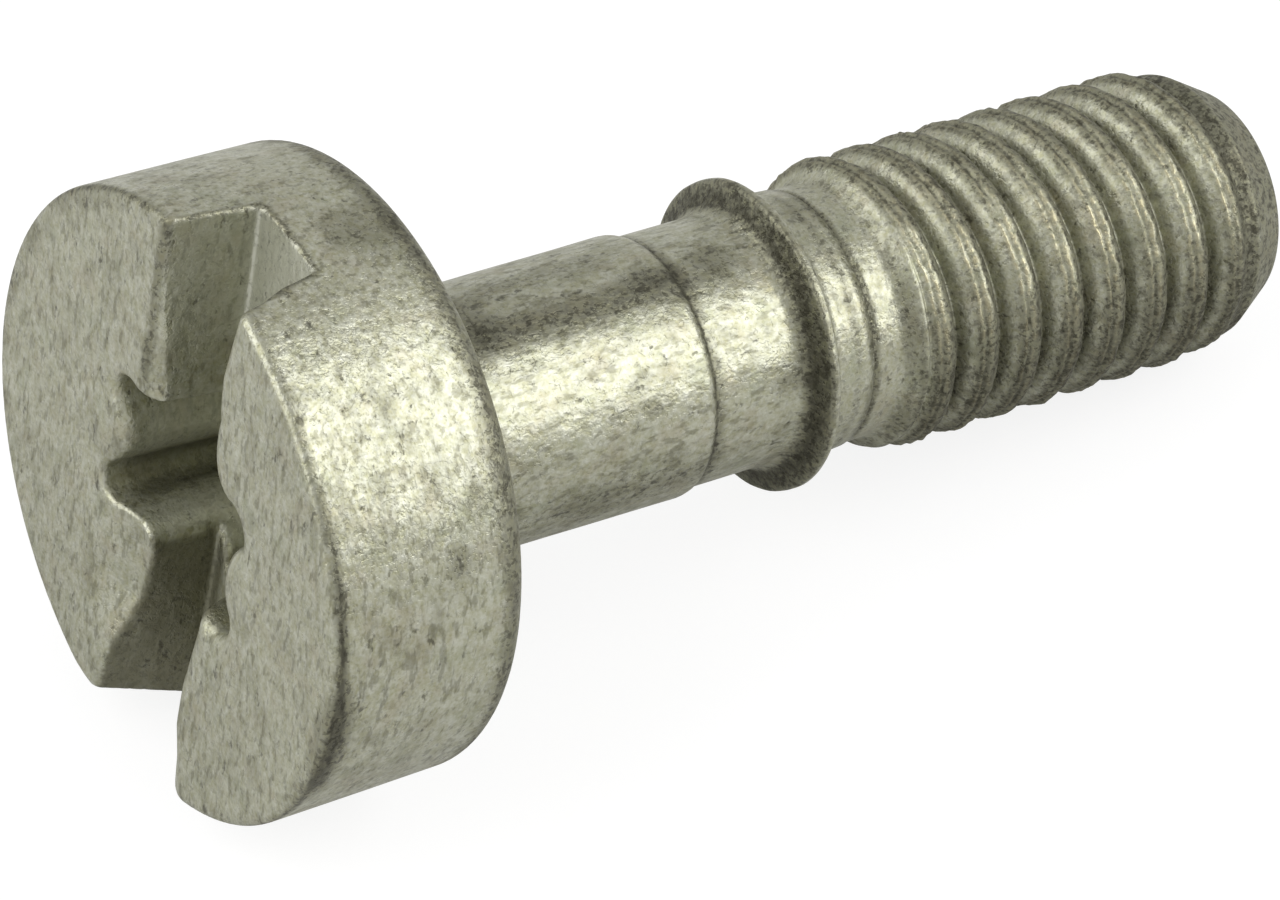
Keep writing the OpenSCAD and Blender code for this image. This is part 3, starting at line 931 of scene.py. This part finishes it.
def makeZinc(plan):
    material = bpy.data.materials.new("zinc_steel")
    look = Look(material)
    place = look.attribute("place", 1)
    grimeAndShade, wearAndGlint, paintedShading = look.attribute("grimeAndShade"), look.attribute("wearAndGlint"), look.attribute("paintedShading")
    axial = look.node("ShaderNodeSeparateXYZ", {}, {0: place}, 2)

    # streaks run down the head's face and along the shank, and end at the collar
    def pull(across, lengthwise):
        end = plan["streakEnd"]
        face = look.vector("MULTIPLY", place, (across, 1, 1))
        shank = look.vector("MULTIPLY_ADD", place, (1, 1, lengthwise), (0, 0, end * (1 - lengthwise)))
        turned = look.mix(axial.ramp(end - 0.01, end + 0.01), shank, place)
        return look.mix(axial.ramp(*plan["faceEnd"]), face, turned)

    moved = look.vector("ADD", place, (31.0, 7.0, 3.0))
    stretched, drawn = pull(0.55, 0.7), pull(0.35, 0.45)
    dash = look.noise(drawn, 6.5, 2, 0.6)  # dark dashes, in line with the streaks
    pit = look.noise(moved, 8.5, 2, 0.65).ramp(0.53, 0.62)
    cloud = look.noise(place, 0.7, 2, 0.6)
    blotch = look.noise(stretched, 2.6, 3, 0.65)
    tint = look.noise(moved, 1.3, 3, 0.7)
    pebble = look.noise(stretched, 6.5, 2, 0.6)
    grain = look.noise(place, plan["grain"], 1.5, 0.6)
    mark = look.noise(look.vector("ADD", stretched, (5.0, 19.0, 11.0)), 4.5, 2.5, 0.75)
    # fine dark cracks round bent cells
    swirl = look.node("ShaderNodeTexNoise", {}, {"Vector": place, "Scale": 3.0, "Detail": 2.0}, 1)
    bent = look.vector("MULTIPLY_ADD", swirl, (0.3, 0.3, 0.3), place)
    cells = look.node("ShaderNodeTexVoronoi", {"feature": "DISTANCE_TO_EDGE"}, {
        "Vector": bent, "Scale": 4.5})
    crack = (1 - cells.ramp(0.0, 0.07)) * mark.ramp(0.5, 0.6)
    speck = (mark + grimeAndShade * 0.16 + cloud * 0.1).ramp(0.68, 0.8)
    haze = (grimeAndShade * 0.9 + cloud * 0.5 + blotch * 0.9 - 0.45).ramp(0.2, 0.75)
    heavy = (grimeAndShade + (pebble - 0.5) * 0.9 + (grain - 0.5) * 0.6).ramp(0.38, 1.05)
    wornAndGlint = wearAndGlint * pebble.ramp(0.42, 0.56)
    mottle = grain.ramp(0.2, 0.75) * 0.5 + pebble.ramp(0.3, 0.7) * 0.5
    colour = look.mix(mottle, plan["plain"], plan["bright"])
    # amount and colour, from the coating up, painted shade and painted light among them
    layers = [
        (tint.ramp(0.5, 0.7) * 0.3, "tan"),
        ((1 - tint.ramp(0.3, 0.46)) * 0.3, "green"),
        (haze * 0.6, "olive"),
        (dash.ramp(0.53, 0.66) * 0.5, "olive"),
        # painted shade in olive and, below 0, painted light in the bright colour
        (paintedShading * 0.75, "olive"),
        (paintedShading * -0.8, "bright"),
        # dark pits, patches and specks where grime and painted shade lie
        (pit * (grimeAndShade * 1.1 + 0.1) * 0.75, "dark"),
        (heavy * 0.75, "dark"),
        (speck * 0.65, "dark"),
        (crack * 0.2, "dark"),
        # wear on the thread's crests in brass, with a painted glint where the highlight falls
        (wornAndGlint * 0.6, "brass"),
    ]
    for share, name in layers:
        colour = look.mix(share, colour, plan[name])
    dents = crack * 0.15 + speck * 0.3 + pit * (grimeAndShade * 0.6 + 0.1)
    height = pebble * (grimeAndShade * 1.2 + 0.9) + grain * 0.25 + blotch * 1.1 - dents
    bump = look.node("ShaderNodeBump", {}, {
        "Strength": 1.0, "Distance": plan["bumpHeight"], "Height": height})
    rough = (blotch - 0.5) * 0.35 + grain * 0.1 + haze * 0.08 + heavy * 0.14 - wornAndGlint * 0.2
    rough = plan["roughness"] + rough + axial.ramp(*plan["threadFrom"]) * 0.1
    steel = look.node("ShaderNodeBsdfPrincipled", {}, {
        "Base Color": colour, "Metallic": plan["metallic"], "Roughness": rough, "Normal": bump})
    look.node("ShaderNodeOutputMaterial", {}, {"Surface": steel})
    return material


screw.data.materials.append(makeZinc(zincPlan))
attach(screw, "root")
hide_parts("screw")
print("zinc ready")


# floor, light and white background

stagePlan = {
    "floorReach": 1,
    "floorDrop": 0.00002,
    "floorColor": 0.6,
    "glossyGlow": 0.05,  # what reflections see
    "seenColor": 0.25,  # what the camera sees
    "seenGlow": 0.82,
    "worldLevel": 0.53,
    # azimuth, elevation, width, height, radiance
    "lamps": [(-43, 35, 0.3, 0.42, 2.4), (160, 36, 0.45, 0.5, 1.7)],
    "lampDistance": 0.4,
}


def makeStage(plan):
    mesh = bpy.data.meshes.new("floor")
    reach = plan["floorReach"]
    corners = [(-reach, -reach, 0), (reach, -reach, 0), (reach, reach, 0), (-reach, reach, 0)]
    mesh.from_pydata(corners, [], [(0, 1, 2, 3)])
    floor = bpy.data.objects.new("floor", mesh)
    floor.location.z = -plan["floorDrop"]
    bpy.context.scene.collection.objects.link(floor)
    material = bpy.data.materials.new("floor")
    look = Look(material)
    path = look.node("ShaderNodeLightPath", {}, {}).socket.node.outputs
    reflected = Wire(look, path["Is Glossy Ray"]).top(Wire(look, path["Is Transmission Ray"]))

    # grey to the screw's light, white to the camera, a little glow in what the metal mirrors
    def whiteFloor(color, glow):
        plain = look.node("ShaderNodeBsdfDiffuse", {}, {"Color": (color, color, color, 1)})
        light = look.node("ShaderNodeEmission", {}, {"Color": (1, 1, 1, 1), "Strength": glow})
        return look.node("ShaderNodeAddShader", {}, {0: plain, 1: light})

    def blend(share, first, second):
        return look.node("ShaderNodeMixShader", {}, {0: share, 1: first, 2: second})

    plain, mirrored = whiteFloor(plan["floorColor"], 0), whiteFloor(plan["floorColor"], plan["glossyGlow"])
    seen = whiteFloor(plan["seenColor"], plan["seenGlow"])
    mixed = blend(Wire(look, path["Is Camera Ray"]), blend(reflected, plain, mirrored), seen)
    look.node("ShaderNodeOutputMaterial", {}, {"Surface": mixed})
    mesh.materials.append(material)

    world = bpy.data.worlds.new("world")
    bpy.context.scene.world = world
    sky = Look(world)
    level = plan["worldLevel"]
    back = sky.node("ShaderNodeBackground", {}, {"Color": (level, level, level, 1), "Strength": 1.0})
    sky.node("ShaderNodeOutputWorld", {}, {"Surface": back})

    for azimuth, elevation, width, height, radiance in plan["lamps"]:
        lamp = bpy.data.objects.new("lamp", bpy.data.lights.new("lamp", "AREA"))
        bpy.context.scene.collection.objects.link(lamp)
        turn, rise = math.radians(azimuth), math.radians(elevation)
        way = Vector((math.cos(turn) * math.cos(rise), math.sin(turn) * math.cos(rise), math.sin(rise)))
        lamp.location = way * plan["lampDistance"]
        lamp.rotation_euler = way.to_track_quat("Z", "Y").to_euler()
        lamp.data.shape = "RECTANGLE"
        lamp.data.size = width
        lamp.data.size_y = height
        lamp.data.energy = radiance * math.pi * width * height


makeStage(stagePlan)
makeCamera(cameraPlan)
bpy.context.scene.view_settings.view_transform = "Standard"
print("stage ready")
